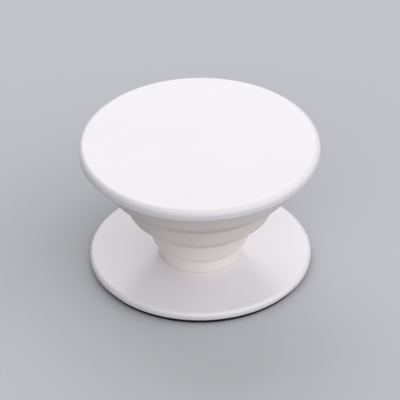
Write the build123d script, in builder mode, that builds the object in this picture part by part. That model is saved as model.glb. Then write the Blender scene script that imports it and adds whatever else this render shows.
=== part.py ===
"""Collapsible phone grip, pulled out: a hard disc to hold, a soft bellows stem and a stick-on base.

Millimetres. +Z is the axis of the grip, and the origin is the middle of the adhesive face.
"""

import os

from build123d import *

# Adhesive pad
pad_thickness = 0.8
pad_inset = 0.6  # bare rim of the base plate around the pad

# Base plate
base_diameter = 37.2
base_thickness = 1.3
base_upper_round = 0.65
base_lower_round = 0.3
hole_lead_in = 0.15

# Foot of the stem, a grommet that snaps through the base plate and turns in it
neck_radius = 7.0
neck_wall = 1.3
throat_step = 0.6  # the throat is this much slimmer than the neck, which rests on the plate
foot_flange_width = 1.0
foot_flange_thickness = 0.5
foot_lead_in = 0.2
turning_clearance = 0.08
recess_clearance = 0.3

# Bellows: each fold is a thin web that steps outwards and a thick strut that leans slightly out
neck_height = 2.1
fold_count = 3
first_web_reach = 1.2  # the web of the lowest fold only steps off the neck
first_web_rise = 1.2
web_reach = 3.6
web_rise = 2.95
web_wall = 0.6
strut_lean = 0.4
strut_height = 2.9
top_strut_height = 3.3  # the strut of the highest fold also carries the flange
strut_wall = 1.1
valley_round = 0.35
ridge_round = 2.0
inner_round = 0.3

# Flange on top of the bellows, gripped by the clips of the disc
flange_width = 3.2
flange_thickness = 1.0

# Top disc
top_diameter = 40.0
rim_thickness = 1.9
rim_lift = 1.35  # the underside climbs this far from the stem to the rim
rim_upper_round = 0.9
rim_lower_round = 0.7
crown = 0.3  # the top face is this much higher in the middle than at the rim
land_width = 0.4  # flat ring of the underside outside the stem
core_depth = 1.8
core_margin = 0.6  # solid ring between the core recess and the clips

# Snap clips under the disc
clip_count = 4
clip_wall = 1.2
clip_slot = 5.0
clip_clearance = 0.08
hook_width = 0.6
hook_height = 1.0
hook_lead_in = 0.5

# Heights and radii that follow from the sizes above
base_radius = base_diameter / 2
base_top = pad_thickness + base_thickness
throat_radius = neck_radius - throat_step
hole_radius = throat_radius + turning_clearance
foot_radius = hole_radius + foot_flange_width
foot_bottom = pad_thickness + turning_clearance
foot_top = foot_bottom + foot_flange_thickness
recess_depth = foot_flange_thickness + 2 * turning_clearance

# Outer skin of the stem: up the neck, out and up through the folds, then in along the top flange.
# Each stretch that has a wall of its own behind it is kept with that wall.
neck_end = Vector(neck_radius, base_top + neck_height)
outer_skin = [Vector(neck_radius, base_top), neck_end]
stretches = [(outer_skin[0], neck_end, neck_wall)]
for fold in range(fold_count):
    reach, rise = (web_reach, web_rise) if fold else (first_web_reach, first_web_rise)
    height = strut_height if fold < fold_count - 1 else top_strut_height
    valley = outer_skin[-1]
    ridge = valley + Vector(reach, rise)
    crest = ridge + Vector(strut_lean, height)
    outer_skin += [ridge, crest]
    stretches += [(valley, ridge, web_wall), (ridge, crest, strut_wall)]
stem_radius = crest.X
stem_top = crest.Y
flange_hole_radius = stem_radius - flange_width
flange_edge = Vector(flange_hole_radius, stem_top)
outer_skin.append(flange_edge)
stretches.append((crest, flange_edge, flange_thickness))
outer_rounds = [valley_round, ridge_round] * fold_count + [0]


def set_in(stretches):
    """Corners of the inner skin: every stretch is moved in by its own wall and cut by the next one."""
    lines = []
    for start, end, wall in stretches:
        along = (end - start).normalized()
        inward = along.rotate(Axis.Z, 90)
        lines.append((start + inward * wall, along))
    corners = []
    for (point, along), (next_point, next_along) in zip(lines, lines[1:]):
        reach = (next_point - point).cross(next_along).Z / along.cross(next_along).Z
        corners.append(point + along * reach)
    return corners


# Adhesive pad: a die-cut disc of foam
with BuildPart() as adhesive_pad:
    with BuildSketch(Plane.XY):
        Circle(base_radius - pad_inset)
    extrude(amount=pad_thickness)

# Base plate: a moulded disc with a hole for the foot, recessed below for the foot's flange
with BuildPart() as base_plate:
    with BuildSketch(Plane.XY.offset(pad_thickness)):
        Circle(base_radius)
    extrude(amount=base_thickness)
    fillet(base_plate.edges().group_by(Axis.Z)[-1], radius=base_upper_round)
    fillet(base_plate.edges().group_by(Axis.Z)[0], radius=base_lower_round)
    with Locations(Plane(origin=(0, 0, pad_thickness), z_dir=(0, 0, -1))):
        CounterBoreHole(hole_radius, foot_radius + recess_clearance, recess_depth)
    mouth = base_plate.edges().group_by(Axis.Z)[-1].sort_by(SortBy.RADIUS)[0]
    chamfer(mouth, length=hole_lead_in)

# Accordion stem: one soft moulding from the foot grommet to the flange under the disc
bore_radius = neck_radius - neck_wall
with BuildPart() as accordion:
    with BuildSketch(Plane.XZ):
        with BuildLine():
            Polyline(
                (bore_radius, foot_bottom),
                (foot_radius - foot_lead_in, foot_bottom),
                (foot_radius, foot_bottom + foot_lead_in),
                (foot_radius, foot_top),
                (throat_radius, foot_top),
                (throat_radius, base_top),
                outer_skin[0],
            )
            FilletPolyline(*outer_skin, radius=outer_rounds)
            Line(flange_edge, flange_edge - Vector(0, flange_thickness))
            FilletPolyline(
                flange_edge - Vector(0, flange_thickness),
                *reversed(set_in(stretches)),
                (bore_radius, foot_bottom),
                radius=inner_round,
            )
        make_face()
    revolve(axis=Axis.Z)

# Top disc: crowned moulding with a round rim, cored below, with a ring of snap clips
rim_radius = top_diameter / 2
rim_bottom = stem_top + rim_lift
rim_top = rim_bottom + rim_thickness
clip_radius = flange_hole_radius - clip_clearance
hook_radius = clip_radius + hook_width
hook_top = stem_top - flange_thickness - clip_clearance
clip_end = hook_top - hook_height
with BuildPart() as top_disc:
    with BuildSketch(Plane.XZ) as disc_section:
        with BuildLine():
            Polyline(
                (0, rim_top + crown),
                (0, stem_top),
                (stem_radius + land_width, stem_top),
                (rim_radius, rim_bottom),
                (rim_radius, rim_top),
            )
            TangentArc((0, rim_top + crown), (rim_radius, rim_top), tangent=(1, 0))
        make_face()
        fillet(disc_section.vertices().group_by(Axis.X)[-1].sort_by(Axis.Y)[0], rim_lower_round)
        fillet(disc_section.vertices().group_by(Axis.X)[-1].sort_by(Axis.Y)[-1], rim_upper_round)
    revolve(axis=Axis.Z)
    with BuildSketch(Plane.XY.offset(stem_top)):
        Circle(clip_radius - clip_wall - core_margin)
    extrude(amount=core_depth, mode=Mode.SUBTRACT)
    with BuildSketch(Plane.XZ):
        with BuildLine():
            Polyline(
                (clip_radius - clip_wall, stem_top),
                (clip_radius - clip_wall, clip_end),
                (hook_radius - hook_lead_in, clip_end),
                (hook_radius, clip_end + hook_lead_in),
                (hook_radius, hook_top),
                (clip_radius, hook_top),
                (clip_radius, stem_top),
                close=True,
            )
        make_face()
    revolve(axis=Axis.Z)
    with BuildSketch(Plane.XY.offset(stem_top)):
        with PolarLocations(clip_radius, clip_count):
            Rectangle(2 * (hook_width + clip_wall), clip_slot)
    extrude(amount=clip_end - stem_top, mode=Mode.SUBTRACT)

pieces = {
    "adhesive_pad": adhesive_pad,
    "base_plate": base_plate,
    "accordion": accordion,
    "top_disc": top_disc,
}

os.makedirs("parts", exist_ok=True)
for name, piece in pieces.items():
    piece.part.label = name
    export_step(piece.part, f"parts/{name}.step")
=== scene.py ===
import math

import bpy
import numpy as np
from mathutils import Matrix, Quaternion, Vector


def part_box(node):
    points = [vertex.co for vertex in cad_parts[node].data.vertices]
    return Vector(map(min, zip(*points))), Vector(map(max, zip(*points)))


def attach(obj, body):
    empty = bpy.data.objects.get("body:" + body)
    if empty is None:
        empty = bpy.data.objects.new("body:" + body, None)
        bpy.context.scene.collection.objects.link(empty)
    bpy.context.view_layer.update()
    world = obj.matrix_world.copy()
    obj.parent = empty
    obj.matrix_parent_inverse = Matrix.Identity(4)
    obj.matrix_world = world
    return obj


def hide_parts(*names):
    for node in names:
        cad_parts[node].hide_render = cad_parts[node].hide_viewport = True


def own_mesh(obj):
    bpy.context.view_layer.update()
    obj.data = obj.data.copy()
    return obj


# All sizes are in metres, in the frame of the CAD pieces.
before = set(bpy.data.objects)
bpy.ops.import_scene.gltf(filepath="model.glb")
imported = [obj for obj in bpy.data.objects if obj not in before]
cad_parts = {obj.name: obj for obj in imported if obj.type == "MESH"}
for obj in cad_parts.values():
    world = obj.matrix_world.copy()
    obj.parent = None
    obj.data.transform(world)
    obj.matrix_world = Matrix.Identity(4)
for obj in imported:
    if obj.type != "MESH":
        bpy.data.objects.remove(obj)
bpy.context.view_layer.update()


# Adhesive pad.
# A disc die-cut from black acrylic foam tape: a foam core between two thin films of adhesive. It is
# stuck under the base plate, and its cut edge shows as a dark line below the plate.
def linear(hex_colour):
    """sRGB hex text to linear RGBA, by the standard two-part curve."""
    srgb = np.array([int(hex_colour[i : i + 2], 16) for i in (1, 3, 5)]) / 255
    rgb = np.where(srgb <= 0.04045, srgb / 12.92, ((srgb + 0.055) / 1.055) ** 2.4)
    return (*rgb.tolist(), 1.0)


def add(owner, kind, settings=None, **links):
    """Adds a node, sets its properties and sockets, and links other nodes' outputs to its sockets."""
    node = owner.node_tree.nodes.new(kind)
    for name, value in (settings or {}).items():
        if name in node.inputs:
            node.inputs[name].default_value = value
        else:
            setattr(node, name, value)
    for name, output in links.items():
        owner.node_tree.links.new(output, node.inputs[name.replace("_", " ")])
    return node


def new_material(name):
    """An empty node material."""
    material = bpy.data.materials.new(name)
    material.use_nodes = True
    material.node_tree.nodes.clear()
    return material


def per_mm(size):
    """Texture scale that gives features of about this size in millimetres on Object coordinates."""
    return 1000.0 / size


def acrylic_foam():
    """Die-cut closed-cell acrylic foam: soft black, with cut cells of 0.2 mm that scatter light."""
    material = new_material("black_acrylic_foam")
    place = add(material, "ShaderNodeTexCoord").outputs["Object"]
    cells = add(material, "ShaderNodeTexVoronoi", {"Scale": per_mm(0.22)}, Vector=place)
    mottle = add(material, "ShaderNodeTexNoise", {"Scale": per_mm(1.5), "Detail": 3.0}, Vector=place)
    tone = add(material, "ShaderNodeValToRGB", Fac=mottle.outputs["Fac"])
    tone.color_ramp.elements[0].position = 0.3
    tone.color_ramp.elements[0].color = linear("#141316")
    tone.color_ramp.elements[1].position = 0.7
    tone.color_ramp.elements[1].color = linear("#222124")
    bump = add(
        material,
        "ShaderNodeBump",
        {"Strength": 0.5, "Distance": 0.00006},
        Height=cells.outputs["Distance"],
    )
    shader = add(
        material,
        "ShaderNodeBsdfPrincipled",
        {"Roughness": 0.85, "IOR": 1.47},
        Base_Color=tone.outputs["Color"],
        Normal=bump.outputs["Normal"],
    )
    add(material, "ShaderNodeOutputMaterial", Surface=shader.outputs["BSDF"])
    return material


def rounded(corners, radii, closed=True, steps=9, hold=0.25):
    """An outline with its corners rounded.

    At each corner the arc's centre lies on the bisector at radius over sine of the half angle, and
    the arc swings from one tangent point to the other by equal angles. An odd number of steps puts a
    point in the middle of the arc. A point on the straight, a held share of the radius before and
    after each arc, keeps the flat next to it flat. The two ends of an open outline stay as they are.
    """
    corners = np.asarray(corners, float)
    inside = slice(None) if closed else slice(1, -1)
    before = (np.roll(corners, 1, axis=0) - corners)[inside]
    after = (np.roll(corners, -1, axis=0) - corners)[inside]
    turning = corners[inside]
    radii = np.asarray(radii, float)[:, None]
    before /= np.linalg.norm(before, axis=1, keepdims=True)
    after /= np.linalg.norm(after, axis=1, keepdims=True)
    half = 0.5 * np.arccos(np.clip(np.sum(before * after, axis=1, keepdims=True), -1, 1))
    bisector = before + after
    bisector /= np.linalg.norm(bisector, axis=1, keepdims=True)
    centre = turning + bisector * radii / np.sin(half)
    first = turning + before * radii / np.tan(half)
    last = turning + after * radii / np.tan(half)
    sweep = (np.pi - 2 * half)[:, :, None]
    share = np.linspace(0, 1, steps)[None, :, None]
    swing = np.sin((1 - share) * sweep) * (first - centre)[:, None]
    swing = swing + np.sin(share * sweep) * (last - centre)[:, None]
    arc = centre[:, None] + swing / np.sin(sweep)
    lead = (first + before * radii * hold)[:, None]
    trail = (last + after * radii * hold)[:, None]
    outline = np.concatenate([lead, arc, trail], axis=1).reshape(-1, 2)
    return outline if closed else np.vstack([corners[:1], outline, corners[-1:]])


def turned(name, outline, material, columns=288, crease=35):
    """A solid turned from an outline of (radius, height) points.

    The point at outline row u and angle v is (r(u) cos v, r(u) sin v, z(u)). The outline runs up the
    outside, and then down the inside of a ring, so that faces point outwards. One that starts and
    ends on the axis is closed there by a pole and a fan of triangles, and any other by its first row.
    Edges that turn by more than the crease, in degrees, stay sharp.
    """
    solid = outline[0, 0] == 0
    rows = outline[1:-1] if solid else outline
    angle = np.linspace(0, 2 * np.pi, columns, endpoint=False)
    ring = np.stack([np.cos(angle), np.sin(angle)], axis=1)
    flat = rows[:, None, 0, None] * ring[None]
    height = np.broadcast_to(rows[:, None, 1, None], (len(rows), columns, 1))
    points = np.concatenate([flat, height], axis=2).reshape(-1, 3)
    index = np.arange(len(points)).reshape(len(rows), columns)
    above = np.roll(index, -1, axis=0)
    quads = np.stack([index, np.roll(index, -1, axis=1), np.roll(above, -1, axis=1), above], axis=2)
    faces = (quads[:-1] if solid else quads).reshape(-1, 4).tolist()
    if solid:
        poles = np.array([[0, 0, outline[0, 1]], [0, 0, outline[-1, 1]]])
        low, high = np.full(columns, len(points)), np.full(columns, len(points) + 1)
        points = np.vstack([points, poles])
        faces += np.stack([low, np.roll(index[0], -1), index[0]], axis=1).tolist()
        faces += np.stack([high, index[-1], np.roll(index[-1], -1)], axis=1).tolist()
    mesh = bpy.data.meshes.new(name)
    mesh.from_pydata(points.tolist(), [], faces)
    mesh.shade_smooth()
    mesh.set_sharp_from_angle(angle=math.radians(crease))
    mesh.materials.append(material)
    piece = bpy.data.objects.new(name, mesh)
    bpy.context.scene.collection.objects.link(piece)
    return piece


pad_low, pad_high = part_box("adhesive_pad")
pad_radius = pad_high.x
film = 0.00008
core_start = 1.5 * film
core_set_back = 0.00004
core_radius = pad_radius - core_set_back
cut_round = 0.00002
pad_edge = [
    (pad_radius, pad_low.z),
    (pad_radius, pad_low.z + film),
    (core_radius, pad_low.z + core_start),
    (core_radius, pad_high.z - core_start),
    (pad_radius, pad_high.z - film),
    (pad_radius, pad_high.z),
]
pad = turned(
    "adhesive_pad_foam",
    rounded(
        [(0, pad_low.z), *pad_edge, (0, pad_high.z)],
        [cut_round] * len(pad_edge),
        closed=False,
    ),
    acrylic_foam(),
)
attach(pad, "base")
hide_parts("adhesive_pad")


# Base plate.
# A thin round plate injection-moulded in white ABS, with a rounded rim and a hole for the foot of the
# stem. It is stuck on the pad, and it is polished, so it mirrors the lights softly.
def white_abs():
    """Polished ABS: near white, slightly translucent, with a faint orange-peel skin from the mould."""
    material = new_material("polished_white_abs")
    place = add(material, "ShaderNodeTexCoord").outputs["Object"]
    peel = add(material, "ShaderNodeTexNoise", {"Scale": per_mm(1.2), "Detail": 2.0}, Vector=place)
    flow = add(material, "ShaderNodeTexNoise", {"Scale": per_mm(9.0), "Detail": 3.0}, Vector=place)
    tone = add(material, "ShaderNodeValToRGB", Fac=flow.outputs["Fac"])
    tone.color_ramp.elements[0].position = 0.2
    tone.color_ramp.elements[0].color = linear("#F1EEF4")
    tone.color_ramp.elements[1].position = 0.8
    tone.color_ramp.elements[1].color = linear("#F4F2F6")
    gloss = add(
        material,
        "ShaderNodeMapRange",
        {"To Min": 0.18, "To Max": 0.26},
        Value=flow.outputs["Fac"],
    )
    bump = add(
        material,
        "ShaderNodeBump",
        {"Strength": 0.25, "Distance": 0.00002},
        Height=peel.outputs["Fac"],
    )
    shader = add(
        material,
        "ShaderNodeBsdfPrincipled",
        {
            "IOR": 1.54,
            "Subsurface Weight": 0.12,
            "Subsurface Radius": (1.0, 0.9, 0.8),
            "Subsurface Scale": 0.0006,
        },
        Base_Color=tone.outputs["Color"],
        Roughness=gloss.outputs["Result"],
        Normal=bump.outputs["Normal"],
    )
    add(material, "ShaderNodeOutputMaterial", Surface=shader.outputs["BSDF"])
    return material


hard_white = white_abs()
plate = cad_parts["base_plate"]
plate.data.materials.clear()
plate.data.materials.append(hard_white)


# Foot of the stem.
# The lowest part of the stem, which is one moulding in soft white TPU: a grommet flange below the plate
# and a throat in its hole, under the shoulder of the neck that rests on the plate. It turns with the
# stem and never folds.
def satin_tpu():
    """Soft polyurethane: a warm white, satin, with the fine matte grain of an eroded mould.

    The grain is drawn coarser than life, so that it shows.
    """
    material = new_material("satin_white_tpu")
    place = add(material, "ShaderNodeTexCoord").outputs["Object"]
    grain = add(material, "ShaderNodeTexNoise", {"Scale": per_mm(0.25), "Detail": 2.0}, Vector=place)
    cloud = add(material, "ShaderNodeTexNoise", {"Scale": per_mm(5.0), "Detail": 3.0}, Vector=place)
    tone = add(material, "ShaderNodeValToRGB", Fac=cloud.outputs["Fac"])
    tone.color_ramp.elements[0].position = 0.3
    tone.color_ramp.elements[0].color = linear("#F0E8E5")
    tone.color_ramp.elements[1].position = 0.7
    tone.color_ramp.elements[1].color = linear("#F4EDEA")
    bump = add(
        material,
        "ShaderNodeBump",
        {"Strength": 0.3, "Distance": 0.00002},
        Height=grain.outputs["Fac"],
    )
    shader = add(
        material,
        "ShaderNodeBsdfPrincipled",
        {
            "Roughness": 0.46,
            "IOR": 1.5,
            "Subsurface Weight": 0.2,
            "Subsurface Radius": (1.0, 0.85, 0.7),
            "Subsurface Scale": 0.0008,
        },
        Base_Color=tone.outputs["Color"],
        Normal=bump.outputs["Normal"],
    )
    add(material, "ShaderNodeOutputMaterial", Surface=shader.outputs["BSDF"])
    return material


plate_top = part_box("base_plate")[1].z
foot_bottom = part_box("accordion")[0].z
bore_radius = 0.0057
throat_radius = 0.0064
throat_overlap = 0.0003
foot_radius = 0.00748
foot_thickness = 0.0005
foot_round = 0.0002
hidden_round = 0.00003

soft_white = satin_tpu()
foot = turned(
    "stem_foot",
    rounded(
        [
            (bore_radius, foot_bottom),
            (foot_radius, foot_bottom),
            (foot_radius, foot_bottom + foot_thickness),
            (throat_radius, foot_bottom + foot_thickness),
            (throat_radius, plate_top + throat_overlap),
            (bore_radius, plate_top + throat_overlap),
        ],
        [hidden_round, foot_round, *[hidden_round] * 4],
    ),
    soft_white,
)
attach(foot, "stem")
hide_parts("accordion")


# Bellows.
# The folding wall of the stem, moulded in one with the foot: a neck, then thick struts that lean out,
# with round lower edges, joined by thin webs that act as hinges. Pressed shut, it lies flat on the
# plate, under its own top ring.
fold_count = 3
neck_radius = 0.0070
neck_height = 0.0021
neck_lift = 0.00003
neck_round = 0.0001
first_web = (0.0012, 0.0012)
web = (0.0036, 0.00295)
strut = (0.0004, 0.0029)
top_strut = (0.0004, 0.0033)
neck_wall = neck_radius - bore_radius
web_wall = 0.0006
strut_wall = 0.0011
flange_width = 0.0032
flange_thickness = 0.0010
valley_round = 0.00035
ridge_round = 0.0020
inner_round = 0.0003
overlap = np.array([0.00015, 0.0003])
seam_flat = 0.00003


def set_in(starts, ends, walls):
    """Corners of the inner skin: each stretch moves in by its wall and is cut by the next one.

    A stretch's inward normal is its direction turned a quarter to the left, and two moved lines meet
    where the cross product of their offset with the second, over that of the two directions, says.
    """
    along = (ends - starts) / np.linalg.norm(ends - starts, axis=1, keepdims=True)
    moved = starts + np.stack([-along[:, 1], along[:, 0]], axis=1) * np.asarray(walls)[:, None]
    gap = moved[1:] - moved[:-1]
    reach = (gap[:, 0] * along[1:, 1] - gap[:, 1] * along[1:, 0]) / (
        along[:-1, 0] * along[1:, 1] - along[:-1, 1] * along[1:, 0]
    )
    return moved[:-1] + along[:-1] * reach[:, None]


# The outer skin turns at the end of the neck, then at the ridge and the crest of each fold, and the
# inner skin turns inside each of them.
neck_foot = np.array([neck_radius, plate_top])
folds = [first_web, strut, *[web, strut] * (fold_count - 2), web, top_strut]
steps_up = [(0, neck_height), *folds, (-flange_width, 0)]
turns = np.vstack([neck_foot, neck_foot + np.cumsum(steps_up, axis=0)])
top_ridge, crest, flange_edge = turns[-3:]
walls = [neck_wall, *[web_wall, strut_wall] * fold_count, flange_thickness]
inner = set_in(turns[:-1], turns[1:], walls)
inner_ridge, inner_crest = inner[-2:]
neck_edges = [(bore_radius, plate_top + neck_lift), (neck_radius, plate_top + neck_lift)]
skin = rounded(
    np.vstack([neck_edges, turns[1:-1]]),
    [neck_round, *[valley_round, ridge_round] * fold_count],
    closed=False,
)

# The bellows ends in the middle of its highest rounded edge, level with the foot of the top ring. Its
# wall runs on into the ring, so that the two show no gap between them, and both have a tiny flat at
# the seam, so that their shading meets.
seam = np.argmin(np.linalg.norm(skin - top_ridge, axis=1))
chord = skin[seam + 1] - skin[seam - 1]
flat_ends = skin[seam] + np.outer([-seam_flat, seam_flat], chord / np.linalg.norm(chord))
skin = np.insert(skin, [seam, seam + 1], flat_ends, axis=0)
seam += 1
inner_strut = inner_crest - inner_ridge
ring_foot = inner_ridge + inner_strut * (skin[seam] - inner_ridge)[1] / inner_strut[1]
lining = rounded(
    np.vstack([ring_foot + overlap, inner[-2::-1], neck_edges[0]]),
    [inner_round] * (len(inner) - 1),
    closed=False,
)
bellows = turned(
    "bellows",
    np.vstack([skin[: seam + 1], skin[seam] + overlap * (-1, 1), lining[:-1]]),
    soft_white,
)
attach(bellows, "stem")
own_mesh(bellows)
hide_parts("accordion")


# Top ring of the bellows.
# The uppermost strut of the moulding, with the flange that the clips of the disc hold. It stays upright
# when the grip is pressed shut, and comes down on the flattened folds. Its skin goes on from the end
# of the round at its foot to the crest, which stops just short of the disc.
disc_gap = np.array([0, -0.00002])
crest_round = 0.00015
flange = rounded(
    [
        skin[-2],
        crest + disc_gap,
        flange_edge + disc_gap,
        flange_edge - np.array([0, flange_thickness]),
        inner_crest,
        ring_foot,
    ],
    [crest_round, crest_round, crest_round, inner_round],
    closed=False,
)
top_ring = turned("bellows_top_ring", np.vstack([skin[seam:-2], flange]), soft_white)
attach(top_ring, "top")
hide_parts("accordion")


# Top disc.
# The crowned disc that the fingers hold, injection-moulded in the same polished white ABS as the base
# plate, in one with the clips below it that snap into the flange of the stem.
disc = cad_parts["top_disc"]
disc.data.materials.clear()
disc.data.materials.append(hard_white)


# Studio.
# A plain pale floor, and soft light from all round that swells towards the right in front. One soft
# box behind the grip lights the disc and, past the stem, the base.
floor_half = 1.5
floor_drop = 0.00002


def matt_paper():
    """Studio paper: a pale cool grey, fully matt, with the faint tooth of the sheet.

    It is pale to every ray that sees it, straight, in a mirror or through glass. To the soft light
    that it throws back it is darker, so that the folds above it keep their shade.
    """
    material = new_material("matt_grey_paper")
    place = add(material, "ShaderNodeTexCoord").outputs["Object"]
    tooth = add(material, "ShaderNodeTexNoise", {"Scale": per_mm(0.8), "Detail": 2.0}, Vector=place)
    rays = add(material, "ShaderNodeLightPath").outputs
    seeing = add(
        material,
        "ShaderNodeCombineXYZ",
        X=rays["Is Camera Ray"],
        Y=rays["Is Glossy Ray"],
        Z=rays["Is Transmission Ray"],
    )
    seen = add(material, "ShaderNodeVectorMath", {"operation": "LENGTH"}, Vector=seeing.outputs["Vector"])
    tone = add(material, "ShaderNodeValToRGB", Fac=seen.outputs["Value"])
    tone.color_ramp.elements[0].color = linear("#6E6F73")
    tone.color_ramp.elements[1].color = linear("#C6C8CD")
    bump = add(
        material,
        "ShaderNodeBump",
        {"Strength": 0.1, "Distance": 0.00002},
        Height=tooth.outputs["Fac"],
    )
    shader = add(
        material,
        "ShaderNodeBsdfPrincipled",
        {"Roughness": 0.95},
        Base_Color=tone.outputs["Color"],
        Normal=bump.outputs["Normal"],
    )
    add(material, "ShaderNodeOutputMaterial", Surface=shader.outputs["BSDF"])
    return material


floor_corners = np.array([(-1, -1), (1, -1), (1, 1), (-1, 1)]) * floor_half
floor_mesh = bpy.data.meshes.new("floor")
floor_mesh.from_pydata([(x, y, -floor_drop) for x, y in floor_corners], [], [(0, 1, 2, 3)])
floor_mesh.materials.append(matt_paper())
floor = bpy.data.objects.new("floor", floor_mesh)
bpy.context.scene.collection.objects.link(floor)


def surround(bright_side, least, most, outer_angle, inner_angle):
    """Light from all round that swells towards one side.

    Its strength climbs smoothly from the least, at the outer angle from that side, to the most, at
    the inner angle from it.
    """
    world = bpy.data.worlds.new("studio")
    world.use_nodes = True
    world.node_tree.nodes.clear()
    direction = add(world, "ShaderNodeTexCoord").outputs["Generated"]
    nearness = add(world, "ShaderNodeVectorMath", {"operation": "DOT_PRODUCT"}, Vector=direction)
    nearness.inputs[1].default_value = Vector(bright_side).normalized()
    strength = add(
        world,
        "ShaderNodeMapRange",
        {
            "interpolation_type": "SMOOTHSTEP",
            "From Min": math.cos(math.radians(outer_angle)),
            "From Max": math.cos(math.radians(inner_angle)),
            "To Min": least,
            "To Max": most,
        },
        Value=nearness.outputs["Value"],
    )
    light = add(
        world,
        "ShaderNodeBackground",
        {"Color": linear("#FFFFFF")},
        Strength=strength.outputs["Result"],
    )
    add(world, "ShaderNodeOutputWorld", Surface=light.outputs["Background"])
    bpy.context.scene.world = world


surround(bright_side=(0.66, -0.72, 0.22), least=0.25, most=1.2, outer_angle=100, inner_angle=54)
grip_middle = Vector((0, 0, 0.012))


def soft_box(name, place, width, watts):
    """A square lamp that faces the middle of the grip."""
    lamp = bpy.data.lights.new(name, "AREA")
    lamp.size = width
    lamp.energy = watts
    lamp_object = bpy.data.objects.new(name, lamp)
    lamp_object.location = place
    lamp_object.rotation_euler = (grip_middle - Vector(place)).to_track_quat("-Z", "Y").to_euler()
    bpy.context.scene.collection.objects.link(lamp_object)


soft_box("key_lamp", place=(-0.08, 0.66, 0.56), width=0.7, watts=2.9)


# Camera.
# It looks down at the grip from in front, as in the photograph, with a long lens.
eye = Vector((0, -0.48025, 0.35399))
roll = math.radians(-0.48)
camera = bpy.data.cameras.new("camera")
camera.sensor_width = 36
camera.lens = 317.8
camera.clip_start = 0.05
camera.clip_end = 10
camera_object = bpy.data.objects.new("camera", camera)
camera_object.location = eye
camera_object.rotation_mode = "QUATERNION"
aim = (grip_middle - eye).to_track_quat("-Z", "Y")
camera_object.rotation_quaternion = aim @ Quaternion((0, 0, 1), roll)
bpy.context.scene.collection.objects.link(camera_object)
bpy.context.scene.camera = camera_object
bpy.context.scene.view_settings.view_transform = "Standard"
